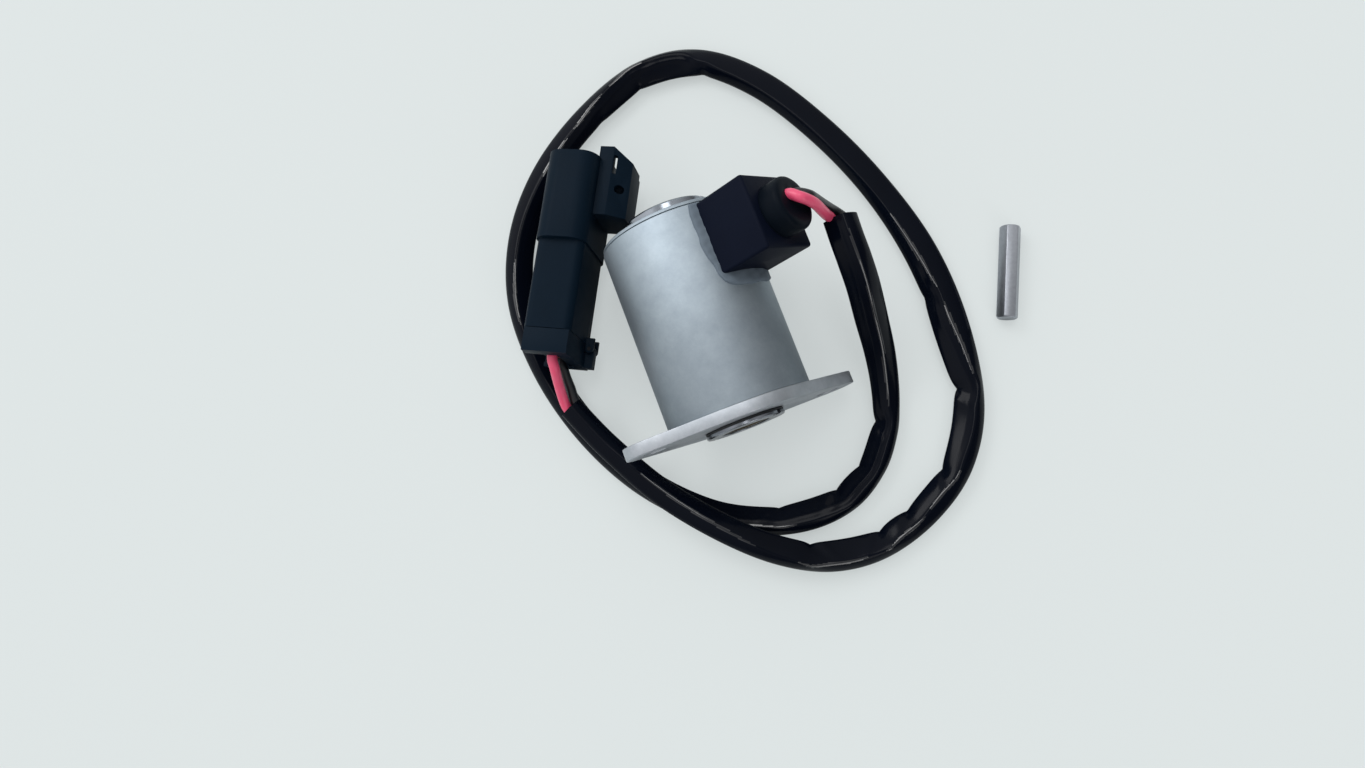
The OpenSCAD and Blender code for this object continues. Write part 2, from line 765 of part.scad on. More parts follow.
// Hinged cover over the rear: side wall, end walls, and a rear wall cut open for the leads
module connector_rear_cover() {
    front = middle_rear - 0.15;
    color("#222326") connector_frame() difference() {
        union() {
            difference() {
                translate([cover_left, cover_rear, middle_z - cover_top])
                    cube([cover_right - cover_left, front - cover_rear, 2 * cover_top]);
                translate([cover_left - over, cover_rear + cover_wall,
                    middle_z - cover_top + cover_wall])
                    cube([cover_right - cover_left + over - cover_wall,
                        front - cover_rear, 2 * (cover_top - cover_wall)]);
                translate([cover_left - over, cover_rear - over, opening_low])
                    cube([over - cover_left + contact_x + lead_r + opening_gap,
                        cover_wall + 2 * over,
                        contact_high + lead_r + opening_gap - opening_low]);
            }
            translate([hinge_x, hinge_y, knuckle_low]) cylinder(r = knuckle_r, h = knuckle_h);
            translate([cover_right - 0.5, cover_rear, knuckle_low])
                cube([hinge_x + knuckle_r - cover_right + 0.5, hinge_y - cover_rear, knuckle_h]);
        }
        translate([hinge_x, hinge_y, knuckle_low - over])
            cylinder(r = hinge_pin_r + run_gap, h = knuckle_h + 2 * over);
        for (z = [knuckle_low - lug_t - 0.4, knuckle_low + knuckle_h])
            translate([hinge_x, hinge_y, z])
                cylinder(r = knuckle_r + 1.5 * move_gap, h = lug_t + 0.4);
    }
}

module cover_hinge_pin() {
    color("#8d9296") connector_frame()
        translate([hinge_x, hinge_y, knuckle_low - lug_t - 0.2])
        cylinder(r = hinge_pin_r, h = knuckle_h + 2 * lug_t + 0.4);
}

// ---- Loose push pin ----

// Hexagonal bar with both ends chamfered, lying on one of its flats
module push_pin() {
    corner_r = pin_af / 2 / cos(30);
    end = 0.4;
    color("#c4c9ce") translate([pin_at[0], pin_at[1], floor_z + pin_af / 2])
        rotate([0, 0, pin_turn]) intersection() {
            along_axis(-pin_l / 2) cylinder(r = corner_r, h = pin_l, $fn = 6);
            along_axis(-pin_l / 2) rotate_extrude() polygon([[0, 0],
                [corner_r - end, 0], [corner_r + 0.1, end + 0.1],
                [corner_r + 0.1, pin_l - end - 0.1], [corner_r - end, pin_l], [0, pin_l]]);
        }
}

housing_tube();
mounting_flange();
pilot_spigot();
pilot_seal();
front_bush();
end_cap();
rear_collar();
pole_piece();
rod_bush();
guide_tube();
front_flux_ring();
coil_bobbin();
coil_winding();
winding_tape();
stop_washer();
plunger();
push_rod();
return_spring();
terminal_block();
block_grommet();
sealant_bead();
terminal_tags();
coil_tails();
red_block_lead();
black_block_lead();
lead_sleeve();
red_plug_lead();
black_plug_lead();
connector_shroud();
connector_pins();
cable_seals();
connector_rear_cover();
cover_hinge_pin();
push_pin();
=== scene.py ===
import math

import bpy
from mathutils import Matrix, Vector


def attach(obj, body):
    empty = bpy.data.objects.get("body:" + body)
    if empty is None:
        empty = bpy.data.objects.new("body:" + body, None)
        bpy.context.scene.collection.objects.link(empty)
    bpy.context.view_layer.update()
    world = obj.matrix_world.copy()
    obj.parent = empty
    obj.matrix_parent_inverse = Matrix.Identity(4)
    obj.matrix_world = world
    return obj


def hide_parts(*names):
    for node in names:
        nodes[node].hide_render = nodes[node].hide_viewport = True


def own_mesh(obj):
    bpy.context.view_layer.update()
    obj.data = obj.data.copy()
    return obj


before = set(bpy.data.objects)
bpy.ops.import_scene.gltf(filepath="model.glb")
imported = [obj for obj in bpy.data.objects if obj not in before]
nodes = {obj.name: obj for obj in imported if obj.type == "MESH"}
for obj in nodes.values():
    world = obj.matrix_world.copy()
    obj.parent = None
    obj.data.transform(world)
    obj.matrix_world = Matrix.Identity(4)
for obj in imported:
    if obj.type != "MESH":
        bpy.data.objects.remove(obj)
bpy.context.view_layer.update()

# ---- Table, lamps and viewpoint ----
# A white laminate table in a pale room, under three soft lamps. The viewpoint is almost
# straight above the part, as when it is laid out for a parts list.


def linear(hex_colour):
    """Turns an sRGB hex colour into the linear values that the shaders take."""
    values = [int(hex_colour[i:i + 2], 16) / 255 for i in (1, 3, 5)]
    return [v / 12.92 if v <= 0.04045 else ((v + 0.055) / 1.055) ** 2.4 for v in values] + [1.0]


def add(owner, kind, settings=None, links=None):
    """Adds one node to a material or to the world, with its settings and what feeds it."""
    node = owner.node_tree.nodes.new(kind)
    for name, value in (settings or {}).items():
        if isinstance(name, int) or name in node.inputs:
            node.inputs[name].default_value = value
        else:
            setattr(node, name, value)
    for name, source in (links or {}).items():
        owner.node_tree.links.new(source, node.inputs[name])
    return node


def finish_named(name):
    """A new material with an empty tree, and the place on the piece that its patterns follow."""
    finish = bpy.data.materials.new(name)
    finish.use_nodes = True
    finish.node_tree.nodes.clear()
    return finish, add(finish, "ShaderNodeTexCoord").outputs["Object"]


scene = bpy.context.scene
scene.view_settings.view_transform = "Standard"

table_height = -0.0171
bpy.ops.object.select_all(action="DESELECT")
bpy.ops.mesh.primitive_plane_add(size=3.0, location=(0, 0, table_height))
table_top = bpy.context.object
table_top.name = "table_top"
bpy.ops.object.transform_apply(location=True, rotation=True, scale=True)
# Laminate is matt and even; a very faint mottle keeps it from looking painted.
laminate, place = finish_named("white_laminate")
mottle = add(laminate, "ShaderNodeTexNoise", {"Scale": 6.0, "Detail": 2.0}, {"Vector": place})
shade = add(laminate, "ShaderNodeMix", {"data_type": "RGBA", "A": linear("#DDE3E3"),
                                        "B": linear("#DBE2E2")},
            {"Factor": mottle.outputs["Fac"]})
matt = add(laminate, "ShaderNodeBsdfPrincipled", {"Roughness": 0.9, "Specular IOR Level": 0.2},
           {"Base Color": shade.outputs["Result"]})
# Seen directly it shows its own pale colour evenly, with the shadows laid softly over it.
pale = add(laminate, "ShaderNodeEmission", {"Strength": 1.0}, {"Color": shade.outputs["Result"]})
seen = add(laminate, "ShaderNodeLightPath")
part_seen = add(laminate, "ShaderNodeMath", {"operation": "MULTIPLY", 1: 0.62},
                {0: seen.outputs["Is Camera Ray"]})
table_look = add(laminate, "ShaderNodeMixShader", None,
                 {0: part_seen.outputs[0], 1: matt.outputs["BSDF"], 2: pale.outputs["Emission"]})
add(laminate, "ShaderNodeOutputMaterial", None, {"Surface": table_look.outputs[0]})
table_top.data.materials.append(laminate)

# Pale room, brightest high up behind the part and to its left, where the windows are, with
# a darker ceiling straight overhead.
room = bpy.data.worlds.new("room")
scene.world = room
room.use_nodes = True
room.node_tree.nodes.clear()
windows = Vector((-0.45, 0.55, 0.70)).normalized()
direction = add(room, "ShaderNodeTexCoord").outputs["Generated"]
towards = add(room, "ShaderNodeVectorMath", {"operation": "DOT_PRODUCT", 1: windows},
              {0: direction})
rise = add(room, "ShaderNodeMapRange", {"From Min": -0.3, "From Max": 1.0, "To Min": 0.12,
                                        "To Max": 1.30}, {"Value": towards.outputs["Value"]})
parts = add(room, "ShaderNodeSeparateXYZ", None, {0: direction})
overhead = add(room, "ShaderNodeMapRange", {"interpolation_type": "SMOOTHSTEP", "From Min": 0.80,
                                            "From Max": 0.97, "To Min": 1.0, "To Max": 0.45},
               {"Value": parts.outputs["Z"]})
level = add(room, "ShaderNodeMath", {"operation": "MULTIPLY"},
            {0: rise.outputs["Result"], 1: overhead.outputs["Result"]})
daylight = add(room, "ShaderNodeBackground", {"Color": linear("#FFFFFF")},
               {"Strength": level.outputs["Value"]})
# Seen directly, the room's wall is as pale as the table.
wall = add(room, "ShaderNodeBackground", {"Color": linear("#DDE3E3")})
seen = add(room, "ShaderNodeLightPath")
room_look = add(room, "ShaderNodeMixShader", None,
                {0: seen.outputs["Is Camera Ray"], 1: daylight.outputs[0], 2: wall.outputs[0]})
add(room, "ShaderNodeOutputWorld", None, {"Surface": room_look.outputs[0]})


def soft_lamp(name, width, length, energy, place, turn=0.0):
    """A rectangular lamp that faces the table's middle, turned about its own beam."""
    lamp = bpy.data.objects.new(name, bpy.data.lights.new(name, "AREA"))
    scene.collection.objects.link(lamp)
    lamp.data.shape = "RECTANGLE"
    lamp.data.size, lamp.data.size_y = width, length
    lamp.data.energy = energy
    lamp.matrix_world = (Matrix.Translation(place) @ Vector(place).to_track_quat("Z", "Y")
                         .to_matrix().to_4x4() @ Matrix.Rotation(math.radians(turn), 4, "Z"))


# A wide lamp to the left gives the soft shadow, a long soft box over the part draws the thin
# bright lines along everything glossy, and a low one in front lifts the flange and spigot.
soft_lamp("desk_lamp", 0.80, 0.50, 6.4, (-0.62, 1.05, 1.05))
soft_lamp("soft_box", 0.36, 0.85, 3.7, (0.12, 0.44, 1.44), -20)
soft_lamp("front_lamp", 0.40, 1.0, 2.8, (0.26, -1.10, 0.58))

viewpoint = bpy.data.objects.new("viewpoint", bpy.data.cameras.new("viewpoint"))
scene.collection.objects.link(viewpoint)
viewpoint.data.sensor_width = 36
viewpoint.data.lens = 24.053
viewpoint.data.clip_start = 0.005
viewpoint.matrix_world = (Matrix.Translation((-0.01015, -0.0144, 0.207))
                          @ Matrix.Rotation(math.radians(7.52), 4, "X")
                          @ Matrix.Rotation(math.radians(-20.69), 4, "Z"))
scene.camera = viewpoint

# ---- Sleeve over the leads ----
# Soft black PVC tubing slipped over both leads. It is flattened on the two wires, the upper
# one shows through it as one long ridge, and it creases on the inside of each turn.

# The middle of the sleeve in mm, and its width there.
sleeve_route = [
    (35.2, 33.6, 11, 7.7), (34.9, 28.8, 11, 7.7), (35, 24, 9.7, 7.8), (35.4, 18.5, 6, 7.8),
    (35.8, 12, -0.5, 7.8), (36.1, 5, -7, 7.4), (35.5, -1.5, -11.5, 6.9),
    (34, -7.5, -13.9, 6.5), (31.4, -13.2, -14.4, 6.3), (26, -19.7, -14.4, 6.4),
    (17.5, -24.6, -14.4, 6.8), (7, -25.6, -14.4, 7), (-4.5, -22.7, -14.4, 6.9),
    (-16, -16, -14.4, 6.9), (-27.5, -3.6, -14.4, 6.9), (-35.8, 12.6, -14.4, 7),
    (-40.4, 30.6, -14.4, 6.9), (-40.5, 48.5, -14.4, 6.9), (-34.6, 64.4, -14.4, 6.9),
    (-23.6, 77.6, -14.4, 7), (-8.5, 87.6, -14.4, 7), (7.5, 93.2, -14.4, 6.8),
    (22.5, 91.1, -14.4, 6.9), (35, 80, -14.4, 7.2), (45, 62.8, -14.4, 7.2),
    (52.2, 44, -14.4, 7.4), (56.2, 24.5, -14.4, 8.3), (56.2, 5, -14.4, 8.5),
    (53, -13.8, -14.4, 7.1), (45.2, -26.3, -14.4, 7), (34, -34, -14.4, 6.9),
    (21, -37.8, -14.4, 6.9), (9, -36.6, -13.2, 7), (-2, -31, -10.6, 6.8),
    (-12.6, -21.6, -9, 6.6), (-23.4, -8.6, -9, 6.3), (-31.8, 6.2, -8.9, 6),
    (-37, 18.2, -8.2, 5.8)]
sleeve_height, sleeve_wall = 5.2, 0.5
sleeve_sides = 96
# As shares of the half width and half height: how round the ridge is, how far the cut mouth by
# the block has sprung open, and the low swell that the second wire makes.
ridge_round, mouth_spring, second_swell = 0.13, 0.22, 0.07
# In mm along the sleeve: how quickly a cusp and its fold die out, and where a string of cusps
# is near enough for the skin to bulge between them.
cusp_width, fold_width, bulge_span = 1.6, 1.5, 28
# As shares of a cusp's depth: how far its fold sinks, and how far the lip beside it rises.
fold_sink, lip_rise = 0.15, 0.08
# Cusps on the inside of the turns: distance along the sleeve and depth in mm, and how far in mm
# the fold leans along the sleeve as it runs up to the ridge.
sleeve_cusps = [
    (54, 0.75, 3.5), (67, 0.45, -2.5), (76, 0.6, 4.5), (92, 0.5, 4.5), (236, 0.3, 3.0),
    (250, 0.45, 4.0), (269, 0.7, -5.0), (355, 0.45, 5.0), (379, 1.15, 3.0), (401, 0.7, 4.0),
    (415, 0.5, 4.5), (424, 0.7, 4.0), (443, 0.75, -5.0)]
# Where the ridge of the upper wire runs: distance along the sleeve, and place across it from
# -1 on the inside of the turn to 1 on the outside.
sleeve_ridge = [
    (-40, 0.1), (0, 0.07), (45, 0.03), (62, 0.3), (95, 0.4), (130, 0.5), (175, 0.3), (225, -0.15),
    (244, 0.35), (262, 0.5), (274, -0.6), (330, -0.55), (352, -0.3), (378, 0.28), (400, -0.05),
    (414, 0.05), (432, 0.42), (450, 0.3), (475, -0.1), (512, -0.1), (550, -0.1)]


def smooth_line(points, steps):
    """Points on a smooth curve through the given ones, each with whatever it carries."""
    rows = [Vector(p) for p in points]
    line = []
    for i in range(len(rows) - 1):
        a, b = rows[max(i - 1, 0)], rows[i]
        c, d = rows[i + 1], rows[min(i + 2, len(rows) - 1)]
        for k in range(steps):
            t = k / steps
            line.append(b + (c - a) * t / 2 + (a - 2.5 * b + 2 * c - d / 2) * t * t
                        + ((d - a) / 2 + 1.5 * (b - c)) * t ** 3)
    return line + [rows[-1]]


def pick(piece):
    """Selects one piece by itself and makes it the active one."""
    bpy.ops.object.select_all(action="DESELECT")
    piece.select_set(True)
    bpy.context.view_layer.objects.active = piece


def tube_mesh(name, rings):
    """A closed skin over rings of points, each ring running the same way round."""
    count = len(rings[0])
    points = [p for ring in rings for p in ring]
    faces = [(i * count + k, i * count + (k + 1) % count,
              (i + 1) * count + (k + 1) % count, (i + 1) * count + k)
             for i in range(len(rings) - 1) for k in range(count)]
    faces.append(tuple(reversed(range(count))))
    faces.append(tuple(range((len(rings) - 1) * count, len(rings) * count)))
    mesh = bpy.data.meshes.new(name)
    mesh.from_pydata([tuple(c / 1000 for c in p) for p in points], [], faces)
    mesh.update()
    tube = bpy.data.objects.new(name, mesh)
    scene.collection.objects.link(tube)
    pick(tube)
    bpy.ops.object.mode_set(mode="EDIT")
    bpy.ops.mesh.select_all(action="SELECT")
    bpy.ops.mesh.normals_make_consistent(inside=False)
    bpy.ops.object.mode_set(mode="OBJECT")
    bpy.ops.object.shade_smooth_by_angle(angle=math.radians(50))
    return tube


sleeve_line = smooth_line(sleeve_route, 20)
sleeve_mid = [Vector(p[:3]) for p in sleeve_line]
sleeve_widths = [p[3] for p in sleeve_line]
travel = [0.0]
for before, after in zip(sleeve_mid, sleeve_mid[1:]):
    travel.append(travel[-1] + (after - before).length)
ridge_run = [tuple(p) for p in smooth_line([(at, place, 0) for at, place in sleeve_ridge], 8)]


def ridge_place(s):
    """How far across the sleeve its ridge lies at a distance along it; cusps push it outwards."""
    place = 0.035 * math.sin(s / 8.7) + 0.02 * math.sin(s / 3.9)
    place += sum(0.26 * depth * math.exp(-((s - at) / 3) ** 2) for at, depth, lean in sleeve_cusps)
    for (before, low, _), (after, high, _) in zip(ridge_run, ridge_run[1:]):
        if s <= after:
            return place + low + (high - low) * (s - before) / max(after - before, 0.001)
    return place + ridge_run[-1][1]


def sleeve_ring(i, shrink=0.0):
    """One ring of the sleeve's skin, its width across the run and its height upright."""
    ahead = (sleeve_mid[min(i + 1, len(sleeve_mid) - 1)] - sleeve_mid[max(i - 1, 0)]).normalized()
    across = Vector((0, 0, 1)).cross(ahead).normalized()
    up = ahead.cross(across)
    s = travel[i]
    half_width = sleeve_widths[i] / 2
    half_height = sleeve_height / 2 * (1 + mouth_spring * math.exp(-s / 10))
    near = [(s - at, depth, lean) for at, depth, lean in sleeve_cusps if abs(s - at) < 14]
    # The inside wall is drawn in at each cusp, and bulges between one cusp and the next.
    pull = sum(depth * math.exp(-abs(t) / cusp_width) for t, depth, lean in near)
    for (start, depth, _), (end, next_depth, _) in zip(sleeve_cusps, sleeve_cusps[1:]):
        if start < s < end and end - start < bulge_span:
            pull -= 0.3 * (depth + next_depth) * math.sin(math.pi * (s - start) / (end - start))
    ridge = ridge_place(s)
    swell = second_swell * (0.5 + 0.5 * math.sin(s / 43 + 0.9))
    foot = math.hypot(1, ridge_round)
    ring = []
    for k in range(sleeve_sides):
        turn = 2 * math.pi * k / sleeve_sides
        x = math.copysign(abs(math.cos(turn)) ** 0.9, math.cos(turn))
        z = math.copysign(abs(math.sin(turn)) ** 0.92, math.sin(turn))
        if math.sin(turn) > 0:
            # Above the middle the skin is drawn over the wires like a tent, round at its ridge.
            inner = min(1.0, max(0.0, (ridge - x) / (1 + ridge)))
            outer = min(1.0, max(0.0, (x - ridge) / (1 - ridge)))
            slope = math.hypot(inner if x < ridge else outer, ridge_round)
            z = ((foot - slope) / (foot - ridge_round)) ** (0.72 if x < ridge else 0.62)
            z += swell * math.exp(-((x - ridge + 0.5) / 0.13) ** 2) * (1 - inner ** 6)
            z = min(z, 1.0)
            fade = inner ** 0.8 if x < ridge else 0.0
            for t, depth, lean in near:
                # From the cusp a soft fold runs up the inner slope and dies out at the ridge.
                off = (t - lean * (1 - inner)) / fold_width
                beside = (off - math.copysign(1.7, lean)) / 0.9
                z -= depth * fold_sink * fade * math.exp(-off * off)
                z += depth * lip_rise * fade * math.exp(-beside * beside)
        x += pull / half_width * max(0.0, -x) ** 1.6
        ring.append(sleeve_mid[i] + across * (x * (half_width - shrink))
                    + up * (z * (half_height - shrink)))
    return ring


# The skin turns in at both cut ends and runs back inside, one wall smaller.
last = len(sleeve_mid) - 1
lip = sleeve_wall * 0.3
first_mouth = [sleeve_ring(i, sleeve_wall) for i in range(20, -1, -4)] + [sleeve_ring(0, lip)]
last_mouth = [sleeve_ring(last, lip)] + [sleeve_ring(i, sleeve_wall)
                                         for i in range(last, last - 21, -4)]
outside = [sleeve_ring(i) for i in range(len(sleeve_mid))]
sleeve = tube_mesh("sleeve", first_mouth + outside + last_mouth)


def sleeve_pvc(name, gloss_level, dullest):
    """Soft PVC: near black with a cold tint, glossy, its skin slightly uneven from the die."""
    pvc, place = finish_named(name)
    skin = add(pvc, "ShaderNodeTexNoise", {"Scale": 420.0, "Detail": 3.0, "Roughness": 0.5},
               {"Vector": place})
    handling = add(pvc, "ShaderNodeTexNoise", {"Scale": 60.0, "Detail": 4.0}, {"Vector": place})
    sheen_range = add(pvc, "ShaderNodeMapRange", {"To Min": dullest - 0.08, "To Max": dullest},
                      {"Value": handling.outputs["Fac"]})
    tint = add(pvc, "ShaderNodeMix", {"data_type": "RGBA", "A": linear("#04070F"),
                                      "B": linear("#080D18")},
               {"Factor": handling.outputs["Fac"]})
    relief = add(pvc, "ShaderNodeBump", {"Strength": 0.06, "Distance": 0.0002},
                 {"Height": skin.outputs["Fac"]})
    gloss = add(pvc, "ShaderNodeBsdfPrincipled", {"Specular IOR Level": gloss_level},
                {"Base Color": tint.outputs["Result"], "Roughness": sheen_range.outputs["Result"],
                 "Normal": relief.outputs["Normal"]})
    add(pvc, "ShaderNodeOutputMaterial", None, {"Surface": gloss.outputs["BSDF"]})
    return pvc


# Where a wire presses up, the skin over the ridge is drawn tight and shines more than the slack
# sides: stretches by their start and end in mm along the sleeve.
taut_stretches = [
    (3, 50), (88, 118), (176, 192), (214, 226), (229, 240), (243, 253), (331, 353),
    (357, 376), (399, 411), (413, 425), (429, 446), (456, 488)]


def is_taut(s, place):
    """Whether the skin is tight at a distance along the sleeve and a place across it."""
    ridge = ridge_place(s)
    for start, end in taut_stretches:
        if start < s < end:
            reach = ridge_round * math.sin(math.pi * (s - start) / (end - start)) ** 0.4
            return abs(place - ridge) < reach
    return False


sleeve.data.materials.append(sleeve_pvc("slack_black_pvc", 0.075, 0.20))
sleeve.data.materials.append(sleeve_pvc("taut_black_pvc", 0.8, 0.18))
for i in range(last):
    for k in range(sleeve_sides // 2):
        across = math.cos(2 * math.pi * (k + 0.5) / sleeve_sides)
        if is_taut(travel[i], math.copysign(abs(across) ** 0.9, across)):
            face = (len(first_mouth) + i) * sleeve_sides + k
            sleeve.data.polygons[face].material_index = 1

# ---- Bare leads at both ends ----
# Two stranded hook-up wires with red and black PVC over them, seen where they leave the
# block's rubber boss and again where they enter the connector. Each bends as one soft arc.

lead_size = 2.4


def lead_tube(name, points, sides=20):
    """A round lead along a smooth line through the points, with rounded ends."""
    line = [Vector(p[:3]) for p in smooth_line(points, 10)]
    side = Vector((0, 1, 0))
    rings = []
    for i, at in enumerate(line):
        ahead = (line[min(i + 1, len(line) - 1)] - line[max(i - 1, 0)]).normalized()
        side = (side - ahead * side.dot(ahead)).normalized()
        other = side.cross(ahead)
        rings.append([at + (side * math.cos(2 * math.pi * k / sides)
                            + other * math.sin(2 * math.pi * k / sides)) * lead_size / 2
                      for k in range(sides)])
    return tube_mesh(name, rings)


red_block_lead = lead_tube("red_lead_at_block", [
    (22.2, 39.4, 20.7), (23.6, 39.4, 21.9), (24.7, 39.3, 22.8), (26.1, 37.8, 23.7),
    (27.4, 37, 23), (29.2, 36, 20.8), (30.8, 35, 17.2), (32, 34.6, 14), (33, 34.3, 11.9),
    (33.6, 33, 11), (34, 30.6, 10.6)])
black_block_lead = lead_tube("black_lead_at_block", [
    (24, 39.6, 18.5), (25.4, 39.6, 19.6), (26.6, 39.5, 20.6), (28.6, 38.3, 20.6),
    (30, 37.7, 18.5), (31.7, 36.9, 15.5), (33.5, 36, 12.6), (35, 34.8, 11.1),
    (36, 33.2, 10.8), (36.3, 31, 10.8)])
red_plug_lead = lead_tube("red_lead_at_connector", [
    (-33.9, 33.3, 0.72), (-35.1, 31, 0.93), (-36.13, 29.03, 1.11), (-36.45, 26.69, 0.38),
    (-36.98, 24.75, -1.96), (-37.59, 22.12, -4.89), (-37.9, 19.8, -6.77), (-37.8, 18.2, -7.6),
    (-37.1, 16, -8.2)])
black_plug_lead = lead_tube("black_lead_at_connector", [
    (-33.26, 32.36, -5.98), (-34.46, 30.06, -5.78), (-35.45, 28.16, -5.6),
    (-35.38, 26.65, -6.02), (-35.49, 24.83, -6.66), (-35.49, 22.61, -7.49),
    (-35.6, 20.6, -8.0), (-35.5, 18.6, -8.4), (-34.9, 16.4, -8.5)])


def lead_pvc(name, dark, light):
    """Extruded PVC: smooth, a little waxy, with faint drag marks of the die."""
    pvc, place = finish_named(name)
    drag = add(pvc, "ShaderNodeTexNoise", {"Scale": 350.0, "Detail": 2.0}, {"Vector": place})
    tint = add(pvc, "ShaderNodeMix", {"data_type": "RGBA", "A": linear(dark), "B": linear(light)},
               {"Factor": drag.outputs["Fac"]})
    relief = add(pvc, "ShaderNodeBump", {"Strength": 0.1, "Distance": 0.0001},
                 {"Height": drag.outputs["Fac"]})
    wax = add(pvc, "ShaderNodeBsdfPrincipled", {"Roughness": 0.34, "IOR": 1.5},
              {"Base Color": tint.outputs["Result"], "Normal": relief.outputs["Normal"]})
    add(pvc, "ShaderNodeOutputMaterial", None, {"Surface": wax.outputs["BSDF"]})
    return pvc


red_pvc = lead_pvc("red_lead_pvc", "#D94468", "#E3567A")
black_pvc = lead_pvc("black_lead_pvc", "#0B0D11", "#14171C")
for lead, pvc in ((red_block_lead, red_pvc), (black_block_lead, black_pvc),
                  (red_plug_lead, red_pvc), (black_plug_lead, black_pvc)):
    lead.data.materials.append(pvc)

# ---- Steel can ----
# Drawn steel tube, zinc plated after a light blast, so it is satin and slightly cold in tint.
# The end is chamfered, and a window near the rear lets the block's neck through.

roll = math.radians(20)
block_turn = math.radians(50)
can_radius, can_bore = 17.0, 15.4
can_front, can_rear = 2.8, 47.1


def turned(name, profile, sides=160):
    """A lathe form: a circle that is extruded and scaled along a (radius, height) profile in mm."""
    radius, height = profile[0]
    bpy.ops.object.select_all(action="DESELECT")
    bpy.ops.mesh.primitive_circle_add(vertices=sides, radius=radius / 1000, fill_type="NOTHING",
                                      location=(0, 0, height / 1000))
    piece = bpy.context.object
    piece.name = name
    bpy.ops.object.mode_set(mode="EDIT")
    bpy.ops.mesh.select_all(action="SELECT")
    for next_radius, next_height in profile[1:]:
        bpy.ops.mesh.extrude_region_move(
            TRANSFORM_OT_translate={"value": (0, 0, (next_height - height) / 1000)})
        bpy.ops.transform.resize(value=(next_radius / radius, next_radius / radius, 1))
        radius, height = next_radius, next_height
    bpy.ops.mesh.select_all(action="SELECT")
    bpy.ops.mesh.remove_doubles(threshold=0.000005)
    bpy.ops.mesh.fill_holes(sides=0)
    bpy.ops.mesh.normals_make_consistent(inside=False)
    bpy.ops.object.mode_set(mode="OBJECT")
    return piece


def settle(piece, matrix, smooth_angle=35):
    """Moves a finished piece to its place, with the place kept in its mesh."""
    pick(piece)
    piece.matrix_world = matrix @ piece.matrix_world
    bpy.ops.object.transform_apply(location=True, rotation=True, scale=True)
    bpy.ops.object.shade_smooth_by_angle(angle=math.radians(smooth_angle))
    return piece


def rounded(piece, width, segments=2, angle=30):
    """Breaks the piece's sharp edges, as tumbling or a mould's radius does."""
    pick(piece)
    bpy.ops.object.modifier_add(type="BEVEL")
    bevel = piece.modifiers[-1]
    bevel.width, bevel.segments = width / 1000, segments
    bevel.limit_method, bevel.angle_limit = "ANGLE", math.radians(angle)
    bevel.harden_normals = False
    bpy.ops.object.modifier_apply(modifier=bevel.name)
    return piece


def cut(piece, tool):
    """Takes the tool's shape out of the piece."""
    pick(piece)
    bpy.ops.object.modifier_add(type="BOOLEAN")
    boolean = piece.modifiers[-1]
    boolean.operation, boolean.solver, boolean.object = "DIFFERENCE", "EXACT", tool
    bpy.ops.object.modifier_apply(modifier=boolean.name)
    bpy.data.objects.remove(tool)
    return piece


def block_of(size, middle):
    """A plain cutting block, sizes and middle in mm."""
    bpy.ops.object.select_all(action="DESELECT")
    bpy.ops.mesh.primitive_cube_add(size=1, location=[c / 1000 for c in middle])
    tool = bpy.context.object
    tool.scale = [c / 1000 for c in size]
    bpy.ops.object.transform_apply(location=True, rotation=True, scale=True)
    return tool


# Pieces of the coil body are made with the axis upright, the rear end up, and then laid down.
laid = Matrix.Rotation(roll, 4, "Y") @ Matrix.Rotation(math.radians(-90), 4, "X")

can = turned("steel_can", [
    (can_bore, can_front), (can_radius, can_front), (can_radius, 20), (can_radius, 46.75),
    (16.9, 46.95), (16.65, can_rear), (can_bore, can_rear), (can_bore, 20),
    (can_bore, can_front)], 192)
settle(can, laid)
window = block_of((11.2, 14.8, 10), (0, 37.2, 16))
window.matrix_world = Matrix.Rotation(block_turn, 4, "Y")
cut(can, window)
settle(can, Matrix.Identity(4), 30)


def zinc_plate(name, dark, light, dullest, painted_front_shade=0.0):
    """Zinc over blasted steel: fine even grain and cloudy patches, with painted shade darkening it
    towards its front and painted light lifting its rear.
    """
    zinc, place = finish_named(name)
    clouds = add(zinc, "ShaderNodeTexNoise", {"Scale": 190.0, "Detail": 8.0, "Roughness": 0.75},
                 {"Vector": place})
    patches = add(zinc, "ShaderNodeMapRange", {"From Min": 0.3, "From Max": 0.7},
                  {"Value": clouds.outputs["Fac"]})
    grain = add(zinc, "ShaderNodeTexNoise", {"Scale": 3600.0, "Detail": 2.0}, {"Vector": place})
    tint = add(zinc, "ShaderNodeMix", {"data_type": "RGBA", "A": linear(dark),
                                       "B": linear(light)}, {"Factor": patches.outputs[0]})
    # Painted shade and light: the colour is scaled down towards the front end and up towards the
    # rear, standing in for the shade near the flange.
    along = add(zinc, "ShaderNodeSeparateXYZ", None, {"Vector": place})
    painted_shade_ramp = add(zinc, "ShaderNodeMapRange",
                  {"From Min": 0.004, "From Max": 0.046, "To Min": 1.0 - painted_front_shade,
                   "To Max": 1.0 + 0.4 * painted_front_shade}, {"Value": along.outputs["Y"]})
    painted_shade_tint = add(zinc, "ShaderNodeVectorMath", {"operation": "SCALE"},
               {0: tint.outputs["Result"], "Scale": painted_shade_ramp.outputs[0]})
    satin = add(zinc, "ShaderNodeMapRange", {"To Min": dullest, "To Max": dullest - 0.06},
                {"Value": clouds.outputs["Fac"]})
    relief = add(zinc, "ShaderNodeBump", {"Strength": 0.3, "Distance": 0.00006},
                 {"Height": grain.outputs["Fac"]})
    plated = add(zinc, "ShaderNodeBsdfPrincipled", {"Metallic": 1.0},
                 {"Base Color": painted_shade_tint.outputs["Vector"], "Roughness": satin.outputs["Result"],
                  "Normal": relief.outputs["Normal"]})
    add(zinc, "ShaderNodeOutputMaterial", None, {"Surface": plated.outputs["BSDF"]})
    return zinc
